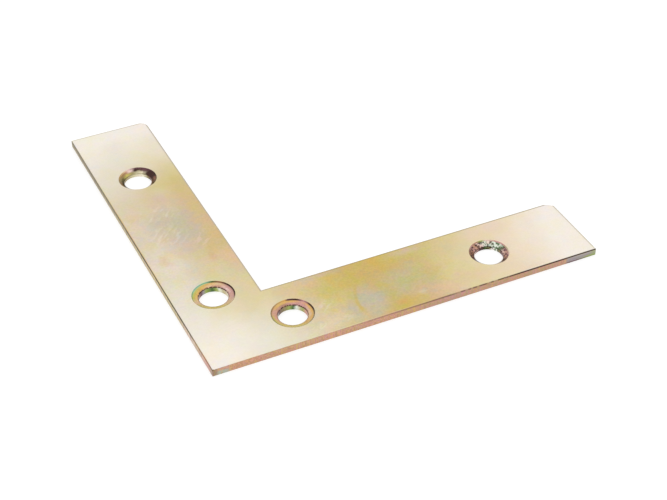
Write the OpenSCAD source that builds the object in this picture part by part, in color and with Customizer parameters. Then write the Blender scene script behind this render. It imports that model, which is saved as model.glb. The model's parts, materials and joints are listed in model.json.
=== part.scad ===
/* [Plate] */
// Length of each arm, along the outer edge
arm_length = 77; // [60:1:150]
// Width of each arm
arm_width = 16; // [14:0.5:30]
// Thickness of the steel sheet
sheet = 1.5; // [1.2:0.1:3]

/* [Sheared edge] */
// Radius of the rolled rim along the upper edge
edge_roll = 0.2; // [0.1:0.05:0.5]
// Height of the torn band at the foot of the edge
tear_height = 0.6; // [0.2:0.1:0.9]
// How far the torn band draws in at its foot
tear_draft = 0.06; // [0.02:0.01:0.2]

/* [End corners] */
// Radius of the inner corner at the end of the Y arm
round_corner = 1.7; // [0.6:0.1:6]
// Clipped inner corner at the end of the X arm, along the arm
clip_along = 1.6; // [0.4:0.1:6]
// Clipped inner corner at the end of the X arm, across the arm
clip_across = 1.1; // [0.4:0.1:6]

/* [Screw holes] */
// Diameter of the screw holes
bore_d = 5.4; // [3:0.1:6.4]
// Distance of each hole row from its outer edge
row_offset = 7.7; // [6:0.1:10]
// Distance of the corner holes from the outer edge of the other arm
corner_hole = 18.5; // [14:0.5:30]
// Distance of the end holes from the ends of the arms
end_hole = 18.5; // [6:0.5:30]

/* [Countersinks] */
// Diameter of the wide, shallow countersinks at the corner holes
corner_sink_d = 7.8; // [7:0.1:10]
// Depth of the countersinks at the corner holes
corner_sink_depth = 0.45; // [0.3:0.05:0.9]
// Diameter of the deeper countersinks at the end holes
end_sink_d = 7.4; // [7:0.1:10]
// Depth of the countersinks at the end holes
end_sink_depth = 0.8; // [0.4:0.05:1.1]
// Height of the steep lip round each countersink
sink_lip = 0.16; // [0.04:0.02:0.3]
// Radius of the rounded throat between countersink and screw hole
throat_round = 0.2; // [0.05:0.05:0.3]

/* [Hidden] */
$fn = 96;
zinc_yellow = [0.86, 0.8, 0.66];
// Run of a cutting shape past the faces that it cuts
past = 1;

// Half of a strip's section, its sheared edge at x = reach: torn band, smooth land and rolled rim
module half_section(reach) {
    polygon([
        [0, 0],
        [reach - tear_draft, 0],
        [reach, tear_height],
        [reach, sheet - edge_roll],
        [0, sheet - edge_roll],
    ]);
    square([reach - edge_roll, sheet]);
    translate([reach - edge_roll, sheet - edge_roll]) circle(edge_roll);
}

// Strip along X with a sheared edge on each long side, from y = 0 to y = width
module strip(width, length) {
    rotate([90, 0, 90])
        linear_extrude(length)
            translate([width / 2, 0]) {
                half_section(width / 2);
                mirror([1, 0]) half_section(width / 2);
            }
}

// Flat bar along X from the outer corner, sheared on all four sides
module bar() {
    intersection() {
        translate([-past, 0, 0]) strip(arm_width, arm_length + 2 * past);
        translate([arm_length, -past, 0])
            rotate([0, 0, 90])
                strip(arm_length, arm_width + 2 * past);
    }
}

// X arm: the shear has clipped its inner end corner along a straight line
module x_arm() {
    reach = arm_length + arm_width;
    intersection() {
        bar();
        translate([arm_length, arm_width - clip_across, 0])
            rotate([0, 0, -atan2(clip_across, clip_along)])
                translate([-reach, -reach, 0])
                    strip(reach, 2 * reach);
    }
}

// Y arm: its inner end corner is rounded, and the sheared edge runs on round the curve
module y_arm() {
    mirror([1, -1, 0]) {
        difference() {
            bar();
            translate([arm_length - round_corner, arm_width - round_corner, -past])
                cube([round_corner + past, round_corner + past, sheet + 2 * past]);
        }
        translate([arm_length - round_corner, arm_width - round_corner, 0])
            rotate_extrude(angle = 90)
                half_section(round_corner);
    }
}

// Cutter for one pressed screw hole: steep lip, dished seat, rounded throat and straight bore
module screw_hole(sink_d, sink_depth) {
    bore_r = bore_d / 2;
    seat_angle = atan2(sink_depth - sink_lip, sink_d / 2 - bore_r);
    throat_run = throat_round * tan((90 - seat_angle) / 2);
    throat_z = sheet - sink_depth - throat_run;
    rotate_extrude()
        difference() {
            polygon([
                [0, -past],
                [bore_r, -past],
                [bore_r, throat_z],
                [bore_r + throat_run * cos(seat_angle), sheet - sink_depth + throat_run * sin(seat_angle)],
                [sink_d / 2, sheet - sink_lip],
                [sink_d / 2, sheet + past],
                [0, sheet + past],
            ]);
            translate([bore_r + throat_round, throat_z]) circle(throat_round);
        }
}

// Cutters for the two screw holes along the X arm
module arm_holes() {
    translate([corner_hole, row_offset, 0]) screw_hole(corner_sink_d, corner_sink_depth);
    translate([arm_length - end_hole, row_offset, 0]) screw_hole(end_sink_d, end_sink_depth);
}

// Stamped plate: both arms in one sheet, with two screw holes along each arm
module plate() {
    color(zinc_yellow)
        translate([-row_offset, -row_offset, 0])
            difference() {
                union() {
                    x_arm();
                    y_arm();
                }
                arm_holes();
                mirror([1, -1, 0]) arm_holes();
            }
}

plate();
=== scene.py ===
import json
import math

import bmesh
import bpy
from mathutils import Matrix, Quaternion, Vector


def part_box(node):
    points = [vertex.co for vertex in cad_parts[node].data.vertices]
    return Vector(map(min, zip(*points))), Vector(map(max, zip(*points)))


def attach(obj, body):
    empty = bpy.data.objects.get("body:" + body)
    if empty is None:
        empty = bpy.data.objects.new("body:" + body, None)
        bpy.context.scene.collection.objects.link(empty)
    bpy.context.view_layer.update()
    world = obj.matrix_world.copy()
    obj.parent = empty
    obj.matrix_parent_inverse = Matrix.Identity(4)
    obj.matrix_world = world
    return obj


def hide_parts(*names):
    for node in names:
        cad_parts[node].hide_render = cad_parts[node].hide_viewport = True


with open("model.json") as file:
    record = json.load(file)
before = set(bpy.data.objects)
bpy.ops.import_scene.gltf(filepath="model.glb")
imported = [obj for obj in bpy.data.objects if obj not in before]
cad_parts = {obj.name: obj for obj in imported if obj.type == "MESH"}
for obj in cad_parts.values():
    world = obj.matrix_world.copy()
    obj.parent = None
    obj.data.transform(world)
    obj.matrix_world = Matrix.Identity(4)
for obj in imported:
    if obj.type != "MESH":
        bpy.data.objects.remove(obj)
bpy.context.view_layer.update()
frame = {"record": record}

# Stamped plate: a flat L blanked from steel sheet in one stroke, so its edges have a rolled rim on top,
# a smooth land below it and a torn band at the foot. The four screw holes are pressed in from the front:
# a steep lip, a dished seat, a rounded throat and a straight bore.
MM = 0.001
ARM_WIDTH = 16 * MM
EDGE_ROLL = 0.2 * MM
TEAR_HEIGHT = 0.6 * MM
TEAR_DRAFT = 0.01 * MM
ROUND_CORNER = 1.7 * MM
CLIP_ALONG = 1.6 * MM
CLIP_ACROSS = 1.1 * MM
SINK_RADIUS = {"corner": 3.9 * MM, "end": 3.7 * MM}
SINK_DEPTH = {"corner": 0.45 * MM, "end": 0.8 * MM}
SINK_LIP = 0.16 * MM
LIP_EDGE = 0.1 * MM
THROAT_ROUND = 0.2 * MM
ROLL_STEPS = 5
CORNER_STEPS = 14
THROAT_STEPS = 5
HOLE_STEPS = 128
TOUCH = 0.001 * MM
STRAIGHT = math.radians(1)
SHARP = math.radians(35)

low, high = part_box("plate")
inner_edge = low + Vector((ARM_WIDTH, ARM_WIDTH, 0))
sheet = high.z - low.z
foot_top = low.z + TEAR_HEIGHT
bores = [mount for mount in frame["record"]["mounts"] if mount["kind"] == "bore"]


def pick(kind, wanted):
    """Selects the vertices, edges or faces of the open mesh whose corners are all wanted."""
    bpy.ops.mesh.select_mode(type=kind)
    bpy.ops.mesh.select_all(action="DESELECT")
    mesh = bmesh.from_edit_mesh(bpy.context.object.data)
    items = {"VERT": mesh.verts, "EDGE": mesh.edges, "FACE": mesh.faces}[kind]
    for item in items:
        corners = [item] if kind == "VERT" else item.verts
        if all(wanted(corner.co) for corner in corners):
            item.select_set(True)
    bmesh.update_edit_mesh(bpy.context.object.data)


def extrude(x, y, z):
    """Draws out what is selected by that step."""
    bpy.ops.mesh.extrude_region_move(TRANSFORM_OT_translate={"value": (x, y, z)})


def near(value, place):
    """Whether a point's place along one axis is that one."""
    return abs(value - place) < TOUCH


# The outline is drawn flat at the top of the torn band: the corner square, then each arm out of it
bpy.ops.object.select_all(action="DESELECT")
bpy.ops.mesh.primitive_plane_add(
    size=ARM_WIDTH,
    location=((low.x + inner_edge.x) / 2, (low.y + inner_edge.y) / 2, foot_top),
)
plate = bpy.context.object
plate.name = "stamped_plate"
bpy.ops.object.transform_apply(location=True, rotation=False, scale=False)
bpy.ops.object.mode_set(mode="EDIT")
pick("EDGE", lambda corner: near(corner.x, inner_edge.x))
extrude(high.x - inner_edge.x, 0, 0)
bpy.ops.mesh.select_all(action="SELECT")
bpy.ops.mesh.bisect(
    plane_co=(high.x, inner_edge.y - CLIP_ACROSS, foot_top),
    plane_no=Vector((CLIP_ACROSS, CLIP_ALONG, 0)).normalized(),
    clear_outer=True,
    threshold=TOUCH,
)
pick("EDGE", lambda corner: near(corner.y, inner_edge.y) and corner.x < inner_edge.x + TOUCH)
extrude(0, high.y - inner_edge.y, 0)
pick("VERT", lambda corner: near(corner.y, high.y) and near(corner.x, inner_edge.x))
bpy.ops.mesh.bevel(offset=ROUND_CORNER, segments=CORNER_STEPS, affect="VERTICES")
bpy.ops.mesh.select_all(action="SELECT")
bpy.ops.mesh.dissolve_limited(angle_limit=STRAIGHT)

# The land and the flat front come out of it upwards, the torn band downwards, and the rim is rolled
bpy.ops.mesh.select_all(action="SELECT")
extrude(0, 0, high.z - foot_top)
bpy.ops.mesh.select_all(action="SELECT")
bpy.ops.mesh.normals_make_consistent(inside=False)
pick("FACE", lambda corner: near(corner.z, foot_top))
bpy.ops.mesh.inset(thickness=TEAR_DRAFT, depth=TEAR_HEIGHT, use_even_offset=True)
pick("EDGE", lambda corner: near(corner.z, high.z))
bpy.ops.mesh.bevel(offset=EDGE_ROLL, segments=ROLL_STEPS, affect="EDGES")
bpy.ops.object.mode_set(mode="OBJECT")


def hole_kind(bore):
    """The holes by the corner have a wide shallow countersink, those by the ends a deeper one."""
    return "corner" if "corner" in bore["name"] else "end"


def hole_outline(bore):
    """Radius and height of a pressed hole's wall, from under the back face to above the front."""
    bore_radius = bore["dims"]["r_mm"] * MM
    sink_radius, sink_depth = SINK_RADIUS[hole_kind(bore)], SINK_DEPTH[hole_kind(bore)]
    seat_angle = math.atan2(sink_depth - SINK_LIP, sink_radius - bore_radius)
    throat_turn = math.pi / 2 - seat_angle
    throat_z = high.z - sink_depth - THROAT_ROUND * math.tan(throat_turn / 2)
    wall = [(0, low.z - sheet), (bore_radius, low.z - sheet)]
    for step in range(THROAT_STEPS + 1):
        turn = throat_turn * step / THROAT_STEPS
        wall.append((
            bore_radius + THROAT_ROUND * (1 - math.cos(turn)),
            throat_z + THROAT_ROUND * math.sin(turn),
        ))
    wall += [
        (sink_radius - LIP_EDGE / 2, high.z - SINK_LIP),
        (sink_radius - LIP_EDGE / 2, high.z - LIP_EDGE),
        (sink_radius + LIP_EDGE / 2 + sheet, high.z + sheet),
        (0, high.z + sheet),
    ]
    return wall


def turn_cutter(middle, wall):
    """A turned solid round the hole's axis, with that wall."""
    bpy.ops.object.select_all(action="DESELECT")
    bpy.ops.mesh.primitive_plane_add(size=sheet, location=(middle.x, middle.y, wall[0][1]))
    bpy.ops.object.transform_apply(location=True, rotation=False, scale=False)
    bpy.ops.object.mode_set(mode="EDIT")
    bpy.ops.mesh.select_mode(type="VERT")
    bpy.ops.mesh.merge(type="CENTER")
    for (radius, z), (next_radius, next_z) in zip(wall, wall[1:]):
        step = (next_radius - radius, 0, next_z - z)
        bpy.ops.mesh.extrude_vertices_move(TRANSFORM_OT_translate={"value": step})
    bpy.ops.mesh.select_all(action="SELECT")
    bpy.ops.mesh.spin(
        steps=HOLE_STEPS, angle=2 * math.pi, center=(middle.x, middle.y, 0), axis=(0, 0, 1)
    )
    bpy.ops.mesh.select_all(action="SELECT")
    bpy.ops.mesh.remove_doubles(threshold=TOUCH)
    bpy.ops.mesh.normals_make_consistent(inside=False)
    bpy.ops.object.mode_set(mode="OBJECT")
    return bpy.context.object


for bore in bores:
    cutter = turn_cutter(Vector(bore["pos_m"]), hole_outline(bore))
    bpy.ops.object.select_all(action="DESELECT")
    bpy.context.view_layer.objects.active = plate
    plate.select_set(True)
    press = plate.modifiers.new("press", "BOOLEAN")
    press.object = cutter
    bpy.ops.object.modifier_apply(modifier=press.name)
    bpy.data.objects.remove(cutter)

bpy.ops.object.shade_smooth_by_angle(angle=SHARP)
flat_faces = plate.modifiers.new("flat faces", "WEIGHTED_NORMAL")
flat_faces.keep_sharp = True
bpy.ops.object.modifier_apply(modifier=flat_faces.name)

# Zinc finish: the plate is zinc-plated and dipped in a yellow passivate, a thin clear film whose colour
# goes from cream over straw, gold, copper and rose to green and plum as it grows thicker. Its grain is
# the same on every surface: a soft mottling, faint hues, fine specks and a satin tooth. Sizes are in mm.
MOTTLE_SIZE = 2.4
HUE_SIZE = 4.5
FINE_HUE_SIZE = 1.0
FINE_HUE_SHARE = 0.4
TINT_SIZE = 2.6
SPECK_SIZE = 0.4
TOOTH_SIZE = 0.16
NO_HUE = (1, 1, 1, 1)
GREY_HUE = (0.92, 0.97, 1.16, 1)
ROSE_HUE = (1.0, 0.96, 1.02, 1)
GREEN_HUE = (0.98, 1, 0.86, 1)
AMBER_HUE = (1.02, 0.99, 0.76, 1)
GREEN_TINT = (0.95, 1.03, 0.955, 1)
ROSE_TINT = (1.05, 0.97, 1.015, 1)


def grey(level):
    """A grey of that level, also above white."""
    return (level, level, level, 1)


def wire(tree, socket, value):
    """Sets a node's input to a fixed value, or joins it to another node's output."""
    if isinstance(value, bpy.types.NodeSocket):
        tree.links.new(value, socket)
    else:
        socket.default_value = value


def reckon(tree, operation, *values):
    """One step of arithmetic."""
    node = tree.nodes.new("ShaderNodeMath")
    node.operation = operation
    for socket, value in zip(node.inputs, values):
        wire(tree, socket, value)
    return node.outputs["Value"]


def times(tree, share, *others):
    """The product of two or more shares."""
    for other in others:
        share = reckon(tree, "MULTIPLY", share, other)
    return share


def mix(tree, share, first, second, blend="MIX"):
    """The first colour, with the second one over it where share says."""
    node = tree.nodes.new("ShaderNodeMix")
    node.data_type = "RGBA"
    node.blend_type = blend
    wire(tree, node.inputs["Factor"], share)
    wire(tree, node.inputs[6], first)
    wire(tree, node.inputs[7], second)
    return node.outputs[2]


def colour_run(tree, place, stops):
    """Colours that follow one another as place goes from 0 to 1."""
    node = tree.nodes.new("ShaderNodeValToRGB")
    marks = node.color_ramp.elements
    while len(marks) < len(stops):
        marks.new(1)
    for mark, (position, colour) in zip(marks, stops):
        mark.position = position
        mark.color = colour
    wire(tree, node.inputs["Fac"], place)
    return node.outputs["Color"]


def clouds(tree, place, size, detail=2, output="Fac"):
    """Soft noise whose clouds are about that many millimetres across."""
    node = tree.nodes.new("ShaderNodeTexNoise")
    wire(tree, node.inputs["Vector"], place)
    node.inputs["Scale"].default_value = 1 / size
    node.inputs["Detail"].default_value = detail
    return node.outputs[output]


def place_in_mm(tree, start=tuple(low), turn=0, stretch=(1, 1, 1)):
    """Place on the plate in millimetres from start, turned about the upright axis."""
    coordinates = tree.nodes.new("ShaderNodeTexCoord")
    centred = tree.nodes.new("ShaderNodeMapping")
    centred.vector_type = "TEXTURE"
    centred.inputs["Location"].default_value = start
    centred.inputs["Rotation"].default_value = (0, 0, turn)
    centred.inputs["Scale"].default_value = [MM / part for part in stretch]
    wire(tree, centred.inputs["Vector"], coordinates.outputs["Object"])
    return centred.outputs["Vector"]


grain = bpy.data.node_groups.new("zinc_grain", "ShaderNodeTree")
grain.interface.new_socket("Place", in_out="INPUT", socket_type="NodeSocketVector")
grain.interface.new_socket("Mottle", in_out="OUTPUT", socket_type="NodeSocketFloat")
grain.interface.new_socket("Tooth", in_out="OUTPUT", socket_type="NodeSocketFloat")
grain.interface.new_socket("Hue", in_out="OUTPUT", socket_type="NodeSocketColor")
grain_place = grain.nodes.new("NodeGroupInput").outputs["Place"]
grain_out = grain.nodes.new("NodeGroupOutput").inputs
broad_film = times(grain, clouds(grain, grain_place, HUE_SIZE, detail=4), 1 - FINE_HUE_SHARE)
fine_film = clouds(grain, grain_place, FINE_HUE_SIZE)
hue = colour_run(grain, reckon(grain, "MULTIPLY_ADD", fine_film, FINE_HUE_SHARE, broad_film), [
    (0.38, GREY_HUE), (0.45, ROSE_HUE), (0.5, NO_HUE), (0.55, GREEN_HUE), (0.62, AMBER_HUE),
])
tint = colour_run(grain, clouds(grain, grain_place, TINT_SIZE, detail=4), [
    (0.34, GREEN_TINT), (0.5, NO_HUE), (0.66, ROSE_TINT),
])
speck = colour_run(grain, clouds(grain, grain_place, SPECK_SIZE, detail=3), [
    (0.3, grey(0.94)), (0.7, grey(1.06)),
])
hue = mix(grain, 1, mix(grain, 1, hue, tint, "MULTIPLY"), speck, "MULTIPLY")
wire(grain, grain_out["Mottle"], clouds(grain, grain_place, MOTTLE_SIZE, detail=5))
wire(grain, grain_out["Tooth"], clouds(grain, grain_place, TOOTH_SIZE))
wire(grain, grain_out["Hue"], hue)


def new_finish(name):
    """A material of bare passivated zinc, its node tree, the place on the plate and the grain there."""
    finish = bpy.data.materials.new(name)
    finish.use_nodes = True
    tree = finish.node_tree
    tree.nodes["Principled BSDF"].inputs["Metallic"].default_value = 1
    spot = place_in_mm(tree)
    worn = tree.nodes.new("ShaderNodeGroup")
    worn.node_tree = grain
    wire(tree, worn.inputs["Place"], spot)
    return finish, tree, spot, worn.outputs


def satin(tree, grained, colour, hue_share, roughness, tooth_height):
    """Puts the film's hues over its colour, makes it rougher with the mottling, and adds the tooth."""
    shader = tree.nodes["Principled BSDF"].inputs
    wire(tree, shader["Base Color"], mix(tree, hue_share, colour, grained["Hue"], "MULTIPLY"))
    spread = tree.nodes.new("ShaderNodeMapRange")
    spread.inputs["To Min"].default_value, spread.inputs["To Max"].default_value = roughness
    wire(tree, spread.inputs["Value"], grained["Mottle"])
    wire(tree, shader["Roughness"], spread.outputs["Result"])
    bump = tree.nodes.new("ShaderNodeBump")
    bump.inputs["Distance"].default_value = tooth_height
    wire(tree, bump.inputs["Height"], grained["Tooth"])
    wire(tree, shader["Normal"], bump.outputs["Normal"])


# Front face: flat and satin from the rolling mill. Its colour goes from cream at the corner and the ends
# to gold along the arms and honey at the inner edges, partly the film and partly painted light: a painted
# highlight at the corner and the ends and painted darker reflection along the middle of the arms. The dip
# ran off in dull patches, small marks, wisps and a dried ring. A thin line of painted shade runs along
# the inner edges and the ends. Places are in mm.
DRIFT_SIZE = 6
FILM_DRIFT = 8
MARK_DRIFT = 1.5
CORNER_BLEND = 5
TO_INNER_SIDE = (1, 15)
TO_X_ARM = (-5, 6)
# Painted shade along the inner edges and the ends: where it starts and is full, in mm from the edge
EDGE_SHADE_START = 0.5
EDGE_SHADE_FULL = 0.15
EDGE_SHADE_STRENGTH = 0.8
HUES_ALONG = (12, 26, 42, 58)
HUES_AT_ENDS = 0.3
MORE_HUES_ALONG = 0.4
MORE_HUES_ON_X_ARM = 0.25
FACE_ROUGHNESS = (0.26, 0.36)
FACE_TOOTH = 0.002 * MM
arm_mm = (high.x - low.x) / MM
width_mm = ARM_WIDTH / MM


def seen(red, green, blue):
    """A colour as it looks on a screen, from 0 to 255, as the linear values that a shader takes."""
    shares = [value / 255 for value in (red, green, blue)]
    return (*[s / 12.92 if s <= 0.04045 else ((s + 0.055) / 1.055) ** 2.4 for s in shares], 1)


CREAM = seen(246, 238, 226)
IVORY = seen(234, 227, 211)
STRAW = seen(230, 218, 187)
SHELL = seen(222, 208, 183)
BISQUE = seen(236, 217, 189)
PRIMROSE = seen(225, 210, 166)
PALE_GOLD = seen(219, 205, 164)
GOLD = seen(213, 194, 135)
HONEY = seen(215, 187, 142)
DEEP_GOLD = seen(207, 182, 110)
PEACH = seen(226, 194, 158)
TAN = seen(192, 182, 160)
ROSE = seen(214, 162, 144)
BLUSH = seen(238, 208, 196)
MAUVE = seen(214, 190, 180)
APRICOT = seen(228, 166, 118)
OLIVE = seen(158, 142, 102)
SAGE = seen(198, 188, 150)
SILVER = seen(232, 237, 216)
PEWTER = seen(199, 190, 168)

# Colours of the film along each arm, as shares of its length. The cream at the ends and the corner is
# partly a painted highlight, and the deeper gold along the middle is partly painted darker reflection
X_ARM_OUTER_FILM_AND_LIGHT = [
    (0.06, CREAM), (0.17, IVORY), (0.3, PALE_GOLD), (0.38, GOLD), (0.47, DEEP_GOLD), (0.56, HONEY),
    (0.66, PRIMROSE), (0.8, BISQUE), (0.94, CREAM),
]
X_ARM_INNER_FILM_AND_LIGHT = [
    (0.06, CREAM), (0.14, STRAW), (0.2, PRIMROSE), (0.31, GOLD), (0.4, DEEP_GOLD), (0.5, DEEP_GOLD),
    (0.62, GOLD), (0.73, PRIMROSE), (0.83, BISQUE), (0.95, CREAM),
]
Y_ARM_OUTER_FILM_AND_LIGHT = [
    (0.06, CREAM), (0.22, IVORY), (0.4, SHELL), (0.66, SHELL), (0.82, IVORY), (0.94, CREAM),
]
Y_ARM_INNER_FILM_AND_LIGHT = [
    (0.06, CREAM), (0.17, PRIMROSE), (0.3, PALE_GOLD), (0.42, HONEY), (0.62, HONEY), (0.7, GOLD),
    (0.82, STRAW), (0.96, CREAM),
]

# Middle from the outer corner, half length and width in mm, turn in degrees, colour, strength
FRONT_PATCHES = [
    ((9.8, 39.6), (4.8, 7.4), 8, PEWTER, 0.8),
    ((3.2, 30.0), (3.4, 5.0), 0, IVORY, 0.5),
    ((10.5, 26.0), (3.2, 5.5), 0, PALE_GOLD, 0.4),
    ((14.2, 43.0), (1.6, 9.0), 0, GOLD, 0.5),
    ((9.0, 49.0), (3.4, 2.4), 0, PEACH, 0.25),
    ((3.0, 46.0), (1.4, 1.8), 0, PEACH, 0.5),
    ((3.4, 31.2), (1.4, 1.1), 0, PEACH, 0.6),
    ((14.4, 28.4), (1.4, 3.0), 0, PEACH, 0.6),
    ((6.8, 67.5), (3.6, 4.5), 0, IVORY, 0.6),
    ((37.0, 11.6), (9.0, 2.8), 0, DEEP_GOLD, 0.6),
    ((20.5, 14.2), (4.0, 2.0), 0, PEACH, 0.6),
    ((32.6, 4.0), (2.8, 4.2), -12, PEWTER, 0.4),
    ((29.0, 4.6), (1.6, 3.2), -10, SAGE, 0.6),
    ((40.5, 6.6), (5.6, 3.6), 8, SAGE, 0.8),
    ((51.0, 2.4), (4.5, 2.4), 0, PEACH, 0.5),
    ((59.5, 13.8), (5.0, 2.2), 0, BLUSH, 0.4),
    ((22.0, 1.6), (7.0, 2.0), 0, BISQUE, 0.25),
]
FRONT_MARKS = [
    ((28.7, 3.9), (0.9, 1.8), 10, PEWTER, 0.7),
    ((37.2, 2.0), (1.1, 0.7), 0, APRICOT, 0.55),
    ((42.0, 2.8), (0.8, 0.7), 0, BISQUE, 0.35),
    ((27.0, 15.2), (4.0, 0.7), 0, MAUVE, 0.4),
    ((45.0, 14.8), (3.4, 0.9), 0, MAUVE, 0.5),
    ((12.0, 29.0), (0.8, 1.6), 0, ROSE, 0.3),
    ((9.0, 50.2), (1.4, 1.6), 0, MAUVE, 0.7),
    ((10.4, 52.4), (2.2, 1.8), 0, SILVER, 0.14),
]
FRONT_WISPS = [
    ((6.0, 38.0), (3.4, 4.0), 0, IVORY, 0.4),
    ((6.8, 45.4), (3.4, 2.6), 0, IVORY, 0.4),
    ((12.2, 35.0), (2.0, 3.0), 0, BLUSH, 0.4),
    ((24.2, 6.4), (1.8, 2.0), 0, IVORY, 0.4),
    ((26.4, 2.4), (1.4, 1.0), 0, IVORY, 0.35),
    ((21.0, 2.0), (3.0, 1.2), 0, CREAM, 0.25),
]
PATCH_EDGE = (1.6, 0.1)
WISP_SIZE = 0.6
WISP_TURN = math.radians(45)
WISP_STRETCH = (0.35, 1, 1)
WISP_EDGE = (0.48, 0.66)
DRIED_PUDDLE = ((32.6, 4.6), (2.4, 3.4))
PUDDLE_EDGE = (1.02, 0.95)
PUDDLE_STRENGTH = 0.8
DRIED_RING = ((36.5, 4.0), (6.6, 8.0))
RING_LINE = (0.9, 0.97, 1.0, 1.06)
RING_ALONG = (35.5, 33)
RING_ACROSS = (1, 4)
RING_STRENGTH = 0.7


def vector(tree, operation, *values):
    """One step of arithmetic on places."""
    node = tree.nodes.new("ShaderNodeVectorMath")
    node.operation = operation
    for socket, value in zip(node.inputs, values):
        wire(tree, socket, value)
    return node.outputs["Value" if operation == "LENGTH" else "Vector"]


def split(tree, place):
    """A place's three parts."""
    node = tree.nodes.new("ShaderNodeSeparateXYZ")
    wire(tree, node.inputs["Vector"], place)
    return node.outputs


def rise(tree, value, start, end):
    """A smooth step from 0 at start to 1 at end."""
    node = tree.nodes.new("ShaderNodeMapRange")
    node.interpolation_type = "SMOOTHSTEP"
    wire(tree, node.inputs["Value"], value)
    node.inputs["From Min"].default_value = start
    node.inputs["From Max"].default_value = end
    return node.outputs["Result"]


def between(tree, value, start, full, fading, end):
    """A smooth hump: 0 up to start, 1 from full to fading, and 0 again from end on."""
    fall = reckon(tree, "SUBTRACT", 1, rise(tree, value, fading, end))
    return times(tree, rise(tree, value, start, full), fall)


def drifted(tree, spot, drift, reach):
    """The place on the front face, moved with the drift as far as that reach."""
    moved = vector(tree, "MULTIPLY_ADD", drift, (reach, reach, 0), spot)
    return vector(tree, "MULTIPLY", moved, (1, 1, 0))


def oval(tree, place, middle, reach, turn=0):
    """How far out a place is from an oval's middle: 1 on the oval itself."""
    node = tree.nodes.new("ShaderNodeMapping")
    node.vector_type = "TEXTURE"
    node.inputs["Location"].default_value = (*middle, 0)
    node.inputs["Rotation"].default_value = (0, 0, math.radians(turn))
    node.inputs["Scale"].default_value = (*reach, 1)
    wire(tree, node.inputs["Vector"], place)
    return vector(tree, "LENGTH", node.outputs["Vector"])


def patch(tree, place, middle, reach, turn=0):
    """A soft oval: 1 in its middle, 0 well outside its reach."""
    return rise(tree, oval(tree, place, middle, reach, turn), *PATCH_EDGE)


def lay_patches(tree, face_colour, place, patches, cover=1):
    """Lays soft ovals of colour over a face's colour, as far as the cover lets them show."""
    for middle, reach, turn, colour, strength in patches:
        inside = patch(tree, place, middle, reach, turn)
        face_colour = mix(tree, times(tree, inside, cover, strength), face_colour, colour)
    return face_colour


front_finish, tree, spot, grained = new_finish("zinc_front_face")
x, y, _ = split(tree, spot)
# Painted shade: a thin dark line along the inner edges and the ends of the front face
inner_edge_shade = rise(
    tree, reckon(tree, "MINIMUM", x, y), width_mm - EDGE_SHADE_START, width_mm - EDGE_SHADE_FULL
)
end_edge_shade = rise(tree, reckon(tree, "MAXIMUM", x, y), arm_mm - EDGE_SHADE_START, arm_mm - EDGE_SHADE_FULL)
drift = vector(
    tree, "SUBTRACT", clouds(tree, spot, DRIFT_SIZE, detail=6, output="Color"), (0.5, 0.5, 0.5)
)
film_place = drifted(tree, spot, drift, FILM_DRIFT)
mark_place = drifted(tree, spot, drift, MARK_DRIFT)

# The film along the two arms, with its painted highlight and shade, and its broad patches
x, y, _ = split(tree, film_place)
along = reckon(tree, "SMOOTH_MAX", x, y, CORNER_BLEND)
share_along = reckon(tree, "DIVIDE", along, arm_mm)
to_inner = rise(tree, reckon(tree, "MINIMUM", x, y), *TO_INNER_SIDE)
on_x_arm = rise(tree, reckon(tree, "SUBTRACT", x, y), *TO_X_ARM)
x_arm_film_and_light = mix(
    tree, to_inner,
    colour_run(tree, share_along, X_ARM_OUTER_FILM_AND_LIGHT), colour_run(tree, share_along, X_ARM_INNER_FILM_AND_LIGHT),
)
y_arm_film_and_light = mix(
    tree, to_inner,
    colour_run(tree, share_along, Y_ARM_OUTER_FILM_AND_LIGHT), colour_run(tree, share_along, Y_ARM_INNER_FILM_AND_LIGHT),
)
face_colour = mix(tree, on_x_arm, y_arm_film_and_light, x_arm_film_and_light)
face_colour = lay_patches(tree, face_colour, film_place, FRONT_PATCHES)

# The puddle that dried inside its ring, then the marks and wisps, and the lines of painted shade last
mark_x, mark_y, _ = split(tree, mark_place)
ring_out = oval(tree, mark_place, *DRIED_RING)
puddle = times(tree, patch(tree, mark_place, *DRIED_PUDDLE), rise(tree, ring_out, *PUDDLE_EDGE))
face_colour = mix(tree, times(tree, puddle, PUDDLE_STRENGTH), face_colour, PEWTER)
ring_side = times(tree, rise(tree, mark_x, *RING_ALONG), rise(tree, mark_y, *RING_ACROSS))
ring = times(tree, between(tree, ring_out, *RING_LINE), ring_side, RING_STRENGTH)
face_colour = mix(tree, ring, face_colour, DEEP_GOLD)
face_colour = lay_patches(tree, face_colour, mark_place, FRONT_MARKS)
wisp_place = place_in_mm(tree, turn=WISP_TURN, stretch=WISP_STRETCH)
wisps = rise(tree, clouds(tree, wisp_place, WISP_SIZE), *WISP_EDGE)
face_colour = lay_patches(tree, face_colour, mark_place, FRONT_WISPS, cover=wisps)
# The painted shade goes on in tan along the ends and in tan and olive along the inner edges
face_colour = mix(tree, times(tree, end_edge_shade, EDGE_SHADE_STRENGTH), face_colour, TAN)
face_colour = mix(tree, times(tree, inner_edge_shade, EDGE_SHADE_STRENGTH), face_colour, mix(tree, on_x_arm, TAN, OLIVE))
more_hues = reckon(tree, "MULTIPLY_ADD", on_x_arm, MORE_HUES_ON_X_ARM, MORE_HUES_ALONG)
hue_share = reckon(tree, "MULTIPLY_ADD", between(tree, along, *HUES_ALONG), more_hues, HUES_AT_ENDS)
satin(tree, grained, face_colour, hue_share, FACE_ROUGHNESS, FACE_TOOTH)

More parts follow.
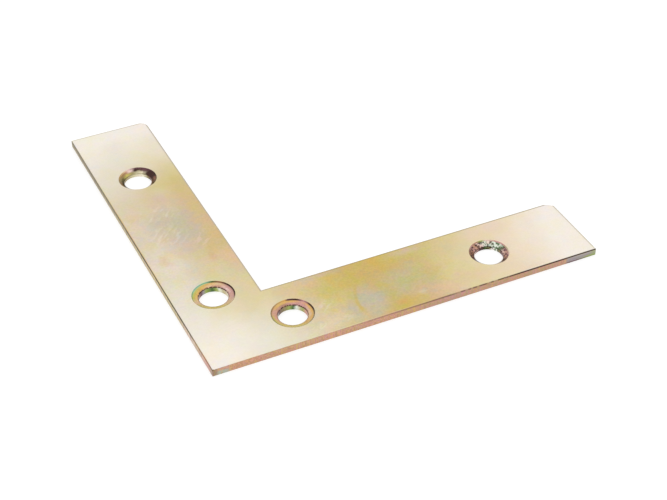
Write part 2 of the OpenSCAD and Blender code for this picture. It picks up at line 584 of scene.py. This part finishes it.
# Back face: the side that lies against the wood, rolled flat and satin like the front. The film is thin
# there, an even pale gold with soft clouds.
BACK_CLOUD_SIZE = 16
BACK_HUES = 0.7
back_finish, tree, spot, grained = new_finish("zinc_back_face")
face_colour = colour_run(tree, clouds(tree, spot, BACK_CLOUD_SIZE, detail=3), [
    (0.3, IVORY), (0.44, STRAW), (0.56, PALE_GOLD), (0.7, PEACH),
])
satin(tree, grained, face_colour, BACK_HUES, FACE_ROUGHNESS, FACE_TOOTH)

# Sheared edges: the punch left upright scores in the steel, and the thick film on it is streaked along
# the cut, a dusty copper made darker with painted shade, under a rim painted pale as a highlight. The
# outer edge of the Y arm is tan, darkened with painted shade, under a bark brown band that is partly film
# and partly painted shade. On the X arm a broken dark line of painted shade runs under the rim, from a
# frosted corner to a lavender and leaf green end.
OCHRE = seen(204, 170, 118)
FAWN = seen(180, 164, 128)
KHAKI = seen(194, 176, 134)
SAND = seen(198, 174, 152)
CLAY = seen(186, 143, 120)
COPPER = seen(202, 156, 134)
LILAC = seen(206, 160, 150)
BRONZE = seen(164, 128, 88)
BROWN = seen(160, 112, 88)
PLUM = seen(108, 76, 80)
UMBER = seen(72, 52, 46)
BARK = seen(62, 54, 26)
MOSS = seen(116, 102, 66)
LEAF = seen(160, 176, 98)
FERN = seen(78, 110, 66)
LAVENDER = seen(162, 152, 154)
FROST = seen(178, 184, 166)

# Colours by the depth of the scores. The copper and clay colours are film made darker with painted shade
COPPER_CUT = [
    (0.38, ROSE), (0.43, CLAY), (0.47, OCHRE), (0.5, ROSE), (0.53, CLAY), (0.56, LILAC), (0.6, OCHRE),
]
CLAY_CUT = [
    (0.38, COPPER), (0.43, CLAY), (0.47, FAWN), (0.5, CLAY), (0.53, LILAC), (0.56, CLAY), (0.6, OCHRE),
]
BARK_SCORES = [
    (0.36, (0.72, 0.66, 0.68, 1)), (0.46, (1.02, 0.95, 0.9, 1)), (0.54, (0.96, 1.02, 0.86, 1)),
    (0.64, (1.26, 1.22, 1.16, 1)),
]

# Colours along the arm, as shares of its length
BARK_BAND_AND_SHADE = [
    (0.03, BROWN), (0.09, BRONZE), (0.13, MOSS), (0.2, BARK), (0.46, BARK), (0.58, MOSS), (0.95, MOSS),
]
BARK_FOOT = [
    (0.03, LILAC), (0.1, SAND), (0.14, MAUVE), (0.2, KHAKI), (0.5, KHAKI), (0.7, FAWN), (0.8, OLIVE),
    (0.95, OLIVE),
]
# The rolled rim of the outer edges, painted pale as a highlight, along the arm
RIM_HIGHLIGHT = [
    (0.0, CREAM), (0.16, IVORY), (0.32, PRIMROSE), (0.45, HONEY), (0.6, HONEY), (0.75, STRAW),
    (0.95, CREAM),
]
# Strength of the painted shade under the rim of the X arm, along the arm
UNDER_RIM_SHADE = [
    (0.3, grey(0)), (0.46, grey(0.35)), (0.58, grey(0.55)), (0.7, grey(0.7)), (0.79, grey(0.95)),
]

# Colours up the sheet, as shares of its thickness
END_CUT = [(0.05, PLUM), (0.2, LAVENDER), (0.6, LAVENDER), (0.85, PEWTER)]

# Places in mm from the outer corner and heights in mm from the back face
SIDE_DEPTH = 0.3
STREAK_SIZE = 1.0
STREAK_STRETCH = (0.22, 0.22, 1.6)
STREAK_WAVER = 0.4
SCORE_SIZE = 0.7
SCORE_STRETCH = (1, 1, 0.2)
SCORE_SHARE = 0.6
CLAY_ALONG = (32, 46)
CLAY_STRENGTH = 0.8
BARK_UP = (1.05, 1.3)
BARK_DEEPENS_ALONG = (30, 58)
BARK_DEEPENS_BY = 0.5
FROST_ALONG = (0.4, 1.4, 2.4, 3.8)
GREEN_CORNER = (1.4, 0.4)
GREEN_STRENGTH = 0.4
END_ALONG = (70.2, 71.2)
END_ACROSS = (9, 2)
LEAF_FOOT_ALONG = (73, 75.6)
LEAF_TIP_ALONG = (75, 76.6)
LEAF_TIP_SHARE = 0.5
LEAF_STRENGTH = 0.7
RIM_UP = (1.37, 1.45)
RIM_ON_OUTER_EDGES = (1, 0.5)
RIM_ON_X_INNER_EDGE = (15, 18, 75, 76)
RIM_LIFT_ALONG = (5, 55)
RIM_LIFT = 0.04
RIM_LIFT_START = -0.05
UNDER_RIM_SHADE_UP = (1.1, 1.24, 1.4, 1.48)
GAPS_ALONG = (44, 49, 56, 60)
GAP_STRENGTH = 0.8

# Heights as shares of the sheet's thickness, and depths of the scores
FROST_DOWN = (0.66, 0.4)
LEAF_DOWN = (0.6, 0.2)
FROST_SCORES = (0.36, 0.5)
GAP_SCORES = (0.53, 0.46)
EDGE_HUES = 0.6
EDGE_ROUGHNESS = (0.28, 0.4)
EDGE_TOOTH = 0.003 * MM

edge_finish, tree, spot, grained = new_finish("zinc_sheared_edge")
x, y, z = split(tree, spot)
along = reckon(tree, "MAXIMUM", x, y)
on_x_side = reckon(tree, "LESS_THAN", y, SIDE_DEPTH)
on_y_side = reckon(tree, "LESS_THAN", x, SIDE_DEPTH)
streaks = clouds(tree, place_in_mm(tree, stretch=STREAK_STRETCH), STREAK_SIZE, detail=4)
scores = clouds(tree, place_in_mm(tree, stretch=SCORE_STRETCH), SCORE_SIZE, detail=3)
waver = reckon(tree, "MULTIPLY_ADD", streaks, STREAK_WAVER, -STREAK_WAVER / 2)
wavering_z = reckon(tree, "ADD", z, waver)
share_up = reckon(tree, "DIVIDE", wavering_z, sheet / MM)

# Copper all round, partly film and partly painted shade, with more clay in it along the X arm
depth = reckon(tree, "MULTIPLY_ADD", scores, SCORE_SHARE, times(tree, streaks, 1 - SCORE_SHARE))
clay_share = times(tree, rise(tree, x, *CLAY_ALONG), CLAY_STRENGTH)
cut = mix(tree, clay_share, colour_run(tree, depth, COPPER_CUT), colour_run(tree, depth, CLAY_CUT))

# Bark brown over tan on the outer edge of the Y arm. The bark brown band under the rim is partly film and
# partly painted shade, and the tan below it is film made darker with painted shade
deepening = rise(tree, y, *BARK_DEEPENS_ALONG)
bark_z = reckon(tree, "MULTIPLY_ADD", deepening, BARK_DEEPENS_BY, wavering_z)
share_up_arm = reckon(tree, "DIVIDE", y, arm_mm)
bark_foot = colour_run(tree, share_up_arm, BARK_FOOT)
bark_band_and_shade = colour_run(tree, share_up_arm, BARK_BAND_AND_SHADE)
bark_cut = mix(tree, rise(tree, bark_z, *BARK_UP), bark_foot, bark_band_and_shade)
bark_cut = mix(tree, 1, bark_cut, colour_run(tree, scores, BARK_SCORES), "MULTIPLY")
cut = mix(tree, on_y_side, cut, bark_cut)

# Frost and a green tint at the outer corner
frost = times(tree, between(tree, x, *FROST_ALONG), rise(tree, share_up, *FROST_DOWN))
frost = times(tree, frost, rise(tree, scores, *FROST_SCORES), on_x_side)
cut = mix(tree, frost, cut, FROST)
cut = mix(tree, times(tree, rise(tree, along, *GREEN_CORNER), GREEN_STRENGTH), cut, FERN)

# Lavender at the end of the X arm, with a leaf green foot by its corner
leaf_foot = times(tree, rise(tree, x, *LEAF_FOOT_ALONG), rise(tree, share_up, *LEAF_DOWN))
leaf_tip = times(tree, rise(tree, x, *LEAF_TIP_ALONG), LEAF_TIP_SHARE)
leaf = times(tree, reckon(tree, "MAXIMUM", leaf_foot, leaf_tip), LEAF_STRENGTH)
end_cut = mix(tree, leaf, colour_run(tree, share_up, END_CUT), LEAF)
end_share = times(tree, rise(tree, x, *END_ALONG), rise(tree, y, *END_ACROSS))
cut = mix(tree, end_share, cut, end_cut)

# The rolled rim: a painted highlight along the outer edges, painted shade along the inner edges and the
# ends
outer_rim_highlight = colour_run(tree, reckon(tree, "DIVIDE", along, arm_mm), RIM_HIGHLIGHT)
on_outer_edge = rise(tree, reckon(tree, "MINIMUM", x, y), *RIM_ON_OUTER_EDGES)
on_x_inner_edge = between(tree, x, *RIM_ON_X_INNER_EDGE)
rim_highlight_and_shade = mix(tree, on_outer_edge, mix(tree, on_x_inner_edge, TAN, OLIVE), outer_rim_highlight)
rim_lift = reckon(tree, "MULTIPLY_ADD", rise(tree, y, *RIM_LIFT_ALONG), RIM_LIFT, RIM_LIFT_START)
rim_z = reckon(tree, "MULTIPLY_ADD", on_y_side, rim_lift, z)
cut = mix(tree, rise(tree, rim_z, *RIM_UP), cut, rim_highlight_and_shade)

# Painted shade: the dark line under the rim of the X arm, broken in its middle
under_rim_shade = colour_run(tree, reckon(tree, "DIVIDE", x, arm_mm), UNDER_RIM_SHADE)
gaps = times(tree, between(tree, x, *GAPS_ALONG), rise(tree, scores, *GAP_SCORES))
unbroken = reckon(tree, "MULTIPLY_ADD", gaps, -GAP_STRENGTH, 1)
under_rim_shade = times(tree, under_rim_shade, between(tree, z, *UNDER_RIM_SHADE_UP), unbroken, on_x_side)
cut = mix(tree, under_rim_shade, cut, UMBER)
satin(tree, grained, cut, EDGE_HUES, EDGE_ROUGHNESS, EDGE_TOOTH)

# Pressed holes: the punch that sinks a hole burnishes its lip, seat and throat. The film runs there in
# rings of colour, no two holes alike, with dark speckles where it is pitted. The rings also hold painted
# light: the pale silver, frost and cream stops are painted highlights, and the umber, plum and bark stops
# are painted shade, as is the dark line at the throat. The colours go round from the side near the outer
# corner over the left, the far side and the right, as shares of a turn.
AMBER = seen(224, 180, 108)
LIME = seen(204, 190, 104)
LEMON = seen(230, 210, 126)
TEAL = seen(160, 196, 164)
HOLE_FILM_AND_LIGHT = {
    "y_corner_hole": {
        "lip": [
            (0.04, MOSS), (0.1, OLIVE), (0.16, PEACH), (0.22, LEAF), (0.29, TEAL), (0.43, TEAL),
            (0.47, FERN), (0.53, BROWN), (0.6, UMBER), (0.73, UMBER), (0.8, PEACH), (0.92, MOSS),
        ],
        "outer seat": [
            (0.03, LEMON), (0.12, LIME), (0.16, PEACH), (0.22, LIME), (0.34, LIME), (0.43, AMBER),
            (0.53, PEACH), (0.62, LILAC), (0.75, LILAC), (0.83, HONEY), (0.92, LEMON),
        ],
        "inner seat": [
            (0.05, LEMON), (0.14, PEACH), (0.26, AMBER), (0.38, AMBER), (0.46, PEACH), (0.55, ROSE),
            (0.64, BLUSH), (0.72, LILAC), (0.84, PEACH), (0.94, LEMON),
        ],
        "throat": [
            (0.15, BROWN), (0.3, UMBER), (0.4, PLUM), (0.5, UMBER), (0.62, PLUM), (0.8, BROWN),
        ],
        "wall": [
            (0.12, BROWN), (0.26, CLAY), (0.33, PLUM), (0.37, LAVENDER), (0.41, LEAF), (0.48, FERN),
            (0.52, LEAF), (0.55, SILVER), (0.6, SAGE), (0.7, STRAW),
        ],
    },
    "x_corner_hole": {
        "lip": [
            (0.05, MOSS), (0.14, MOSS), (0.21, OLIVE), (0.28, BRONZE), (0.36, OCHRE), (0.42, AMBER),
            (0.46, PLUM), (0.52, UMBER), (0.58, LILAC), (0.64, UMBER), (0.7, UMBER), (0.76, OLIVE),
            (0.9, MOSS),
        ],
        "outer seat": [
            (0.04, LEMON), (0.16, LIME), (0.21, DEEP_GOLD), (0.26, ROSE), (0.34, AMBER), (0.5, AMBER),
            (0.56, ROSE), (0.64, AMBER), (0.8, AMBER), (0.92, LEMON),
        ],
        "inner seat": [
            (0.06, LEMON), (0.2, ROSE), (0.33, COPPER), (0.4, CLAY), (0.48, ROSE), (0.6, LILAC),
            (0.72, PEACH), (0.85, AMBER), (0.94, LEMON),
        ],
        "throat": [
            (0.2, BROWN), (0.32, PLUM), (0.42, UMBER), (0.5, PLUM), (0.6, UMBER), (0.75, BROWN),
        ],
        "wall": [
            (0.15, BROWN), (0.26, PEWTER), (0.32, PLUM), (0.4, OLIVE), (0.46, LEAF), (0.5, FERN),
            (0.54, SILVER), (0.58, SAGE), (0.61, LEAF), (0.65, ROSE), (0.74, BROWN),
        ],
    },
    "y_end_hole": {
        "lip": [
            (0.08, MOSS), (0.16, BRONZE), (0.28, OCHRE), (0.36, PEACH), (0.4, BLUSH), (0.46, PLUM),
            (0.58, PLUM), (0.66, UMBER), (0.78, MOSS), (0.92, MOSS),
        ],
        "outer seat": [
            (0.06, MOSS), (0.15, BRONZE), (0.24, OLIVE), (0.32, BRONZE), (0.37, CLAY), (0.41, BLUSH),
            (0.46, UMBER), (0.54, PLUM), (0.6, UMBER), (0.69, UMBER), (0.73, BROWN), (0.8, OLIVE),
        ],
        "inner seat": [
            (0.06, BARK), (0.2, BARK), (0.28, MOSS), (0.36, LIME), (0.42, OLIVE), (0.48, SAGE),
            (0.54, STRAW), (0.58, UMBER), (0.7, UMBER), (0.8, BRONZE),
        ],
        "throat": [
            (0.1, BARK), (0.28, BARK), (0.36, OLIVE), (0.47, SAGE), (0.55, SAGE), (0.6, UMBER),
            (0.75, BROWN),
        ],
        "wall": [
            (0.15, BROWN), (0.3, OLIVE), (0.4, SAGE), (0.48, STRAW), (0.55, CREAM), (0.6, OLIVE),
            (0.66, UMBER), (0.8, BROWN),
        ],
    },
    "x_end_hole": {
        "lip": [
            (0.1, UMBER), (0.22, BRONZE), (0.33, LILAC), (0.4, CLAY), (0.44, LEAF), (0.48, BLUSH),
            (0.56, LILAC), (0.64, LILAC), (0.69, SAGE), (0.78, BLUSH), (0.88, BROWN),
        ],
        "outer seat": [
            (0.12, UMBER), (0.18, BROWN), (0.26, BROWN), (0.31, LILAC), (0.37, CLAY), (0.41, BLUSH),
            (0.44, FROST), (0.48, SILVER), (0.51, BLUSH), (0.54, SILVER), (0.61, SILVER), (0.65, FERN),
            (0.7, LILAC), (0.8, COPPER), (0.88, BRONZE),
        ],
        "inner seat": [
            (0.12, UMBER), (0.22, BROWN), (0.28, BROWN), (0.33, LILAC), (0.38, CLAY), (0.43, BLUSH),
            (0.46, SILVER), (0.5, FROST), (0.55, SILVER), (0.6, SILVER), (0.64, FERN), (0.69, BLUSH),
            (0.76, COPPER), (0.86, BRONZE),
        ],
        "throat": [
            (0.2, UMBER), (0.42, UMBER), (0.54, BARK), (0.6, FERN), (0.68, PLUM),
        ],
        "wall": [
            (0.15, UMBER), (0.3, BLUSH), (0.36, LILAC), (0.41, PLUM), (0.46, BARK), (0.49, FERN),
            (0.52, OLIVE), (0.55, CREAM), (0.61, SILVER), (0.64, OLIVE), (0.68, PLUM), (0.76, CLAY),
        ],
    },
}

# Strength of the speckles, and how far they reach out past the middle of the seat in mm
SPECKLES = {
    "y_corner_hole": (0.15, 0.6),
    "x_corner_hole": (0.12, 0.6),
    "y_end_hole": (0.1, 0.6),
    "x_end_hole": (0.9, 1.1),
}
SPECKLE_SIZE = 0.34
SPECKLE_EDGE = (0.48, 0.56)
SPECKLE_FADE = 0.8
# Where the painted shade at the throat breaks up, on the pits' noise
THROAT_SHADE_BREAKS = (0.3, 0.5)
COLOUR_TURN = math.radians(-25)
SEAT_BLEND = (-0.2, 0.15)
WALL_BLEND = (-0.16, 0.02)
THROAT_LINE = (-0.22, -0.1, 0, 0.07)
LIP_BLEND = 0.08
RIPPLE_SIZE = 0.9
RIPPLE_ROUND = 0.06
RIPPLE_OUT = 0.5
HOLE_HUES = 0.5
HOLE_ROUGHNESS = (0.2, 0.34)
HOLE_TOOTH = 0.003 * MM


def hole_finish(bore):
    """The film and painted light in one hole: five rings from the lip down to the bore, and dark
    speckles.
    """
    finish, tree, spot, grained = new_finish("zinc_" + bore["name"])
    middle = (bore["pos_m"][0], bore["pos_m"][1], low.z)
    hole_place = place_in_mm(tree, middle, turn=COLOUR_TURN)
    x, y, z = split(tree, hole_place)
    out = vector(tree, "LENGTH", vector(tree, "MULTIPLY", hole_place, (1, 1, 0)))
    turn = reckon(tree, "MULTIPLY_ADD", reckon(tree, "ARCTAN2", x, y), 1 / (2 * math.pi), 0.5)
    ripple = reckon(tree, "SUBTRACT", clouds(tree, spot, RIPPLE_SIZE, detail=4), 0.5)
    turn = reckon(tree, "MULTIPLY_ADD", ripple, RIPPLE_ROUND, turn)
    out = reckon(tree, "MULTIPLY_ADD", ripple, RIPPLE_OUT, out)
    mid_seat = (bore["dims"]["r_mm"] + SINK_RADIUS[hole_kind(bore)] / MM) / 2
    throat = (sheet - SINK_DEPTH[hole_kind(bore)]) / MM
    lip_foot = (sheet - SINK_LIP) / MM
    past_mid_seat = reckon(tree, "SUBTRACT", out, mid_seat)
    over_throat = reckon(tree, "SUBTRACT", z, throat)

    # The seat's two rings over the wall of the bore
    rings = HOLE_FILM_AND_LIGHT[bore["name"]]
    ring = {name: colour_run(tree, turn, stops) for name, stops in rings.items()}
    on_outer_seat = rise(tree, past_mid_seat, *SEAT_BLEND)
    seat = mix(tree, on_outer_seat, ring["inner seat"], ring["outer seat"])
    colour = mix(tree, rise(tree, over_throat, *WALL_BLEND), ring["wall"], seat)

    # The dark line of painted shade at the throat, broken where the pits are, and the speckles outside it
    pits = clouds(tree, spot, SPECKLE_SIZE)
    at_throat = between(tree, over_throat, *THROAT_LINE)
    throat_shade_line = times(tree, at_throat, rise(tree, pits, *THROAT_SHADE_BREAKS))
    colour = mix(tree, throat_shade_line, colour, ring["throat"])
    strength, reach = SPECKLES[bore["name"]]
    speckled = rise(tree, past_mid_seat, reach, reach - SPECKLE_FADE)
    speckles = times(tree, speckled, rise(tree, pits, *SPECKLE_EDGE), strength)
    colour = mix(tree, speckles, colour, ring["throat"])

    colour = mix(tree, rise(tree, z, lip_foot - LIP_BLEND, lip_foot), colour, ring["lip"])
    satin(tree, grained, colour, HOLE_HUES, HOLE_ROUGHNESS, HOLE_TOOTH)
    return finish


# Each face of the plate gets the finish of the surface that it is on
FLAT = 0.995
FRONT, BACK, EDGE, FIRST_HOLE = range(4)
for finish in (front_finish, back_finish, edge_finish, *[hole_finish(bore) for bore in bores]):
    plate.data.materials.append(finish)
for face in plate.data.polygons:
    if abs(face.normal.z) > FLAT:
        face.material_index = FRONT if face.normal.z > 0 else BACK
        continue
    face.material_index = EDGE
    for number, bore in enumerate(bores):
        if (Vector(bore["pos_m"]).xy - face.center.xy).length < SINK_RADIUS["corner"] + LIP_EDGE:
            face.material_index = FIRST_HOLE + number

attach(plate, "root")
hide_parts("plate")

# Floor: a wide sheet of white paper that the plate lies on, a hair under its back face. It is clear from
# below, where the back of the plate shows through it.
FLOOR_SIZE = 6
FLOOR_GAP = 0.02 * MM
FLOOR_WHITE = 0.4
FLOOR_GLOW = 0.7
bpy.ops.object.select_all(action="DESELECT")
bpy.ops.mesh.primitive_plane_add(size=FLOOR_SIZE, location=(0, 0, low.z - FLOOR_GAP))
floor = bpy.context.object
floor.name = "floor"
paper = bpy.data.materials.new("white_paper")
paper.use_nodes = True
tree = paper.node_tree
shader = tree.nodes["Principled BSDF"]
shader.inputs["Base Color"].default_value = grey(FLOOR_WHITE)
shader.inputs["Roughness"].default_value = 1
shader.inputs["Specular IOR Level"].default_value = 0
path = tree.nodes.new("ShaderNodeLightPath")
looked_at = reckon(tree, "ADD", path.outputs["Is Camera Ray"], path.outputs["Is Glossy Ray"])
looked_at = reckon(tree, "ADD", looked_at, path.outputs["Is Transmission Ray"])
shader.inputs["Emission Color"].default_value = grey(1)
wire(tree, shader.inputs["Emission Strength"], times(tree, looked_at, FLOOR_GLOW))
paper_side = tree.nodes.new("ShaderNodeNewGeometry")
clear_side = tree.nodes.new("ShaderNodeBsdfTransparent")
one_sided = tree.nodes.new("ShaderNodeMixShader")
wire(tree, one_sided.inputs["Fac"], paper_side.outputs["Backfacing"])
wire(tree, one_sided.inputs[1], shader.outputs["BSDF"])
wire(tree, one_sided.inputs[2], clear_side.outputs["BSDF"])
wire(tree, tree.nodes["Material Output"].inputs["Surface"], one_sided.outputs["Shader"])
floor.data.materials.append(paper)

# Studio: a white room with soft light from all round, brighter overhead than at the horizon, and as
# bright below for the back face.
ROOM = [(0.0, grey(0.62)), (0.3, grey(0.88)), (0.6, grey(1.02))]
world = bpy.data.worlds.new("studio")
world.use_nodes = True
tree = world.node_tree
heading = tree.nodes.new("ShaderNodeTexCoord")
upward = split(tree, heading.outputs["Generated"])["Z"]
room = colour_run(tree, reckon(tree, "ABSOLUTE", upward), ROOM)
wire(tree, tree.nodes["Background"].inputs["Color"], room)
bpy.context.scene.world = world
bpy.context.scene.view_settings.view_transform = "Standard"

# Camera: a short telephoto on a stand, above and in front of the plate's outer corner. It looks down on
# the front face between the two arms and leans a little to one side.
CAMERA_AT = Vector((-72.93, -195.44, 182.74)) * MM
AIM_AT = Vector((25.04, 13.14, 1.5)) * MM
CAMERA_ROLL = math.radians(-0.42)
FOCAL_LENGTH = 84.92
NEAREST = 10 * MM
bpy.ops.object.camera_add(location=CAMERA_AT)
camera = bpy.context.object
camera.data.lens = FOCAL_LENGTH
camera.data.clip_start = NEAREST
camera.rotation_mode = "QUATERNION"
aim = (AIM_AT - CAMERA_AT).to_track_quat("-Z", "Y")
camera.rotation_quaternion = aim @ Quaternion((0, 0, 1), CAMERA_ROLL)
bpy.context.scene.camera = camera
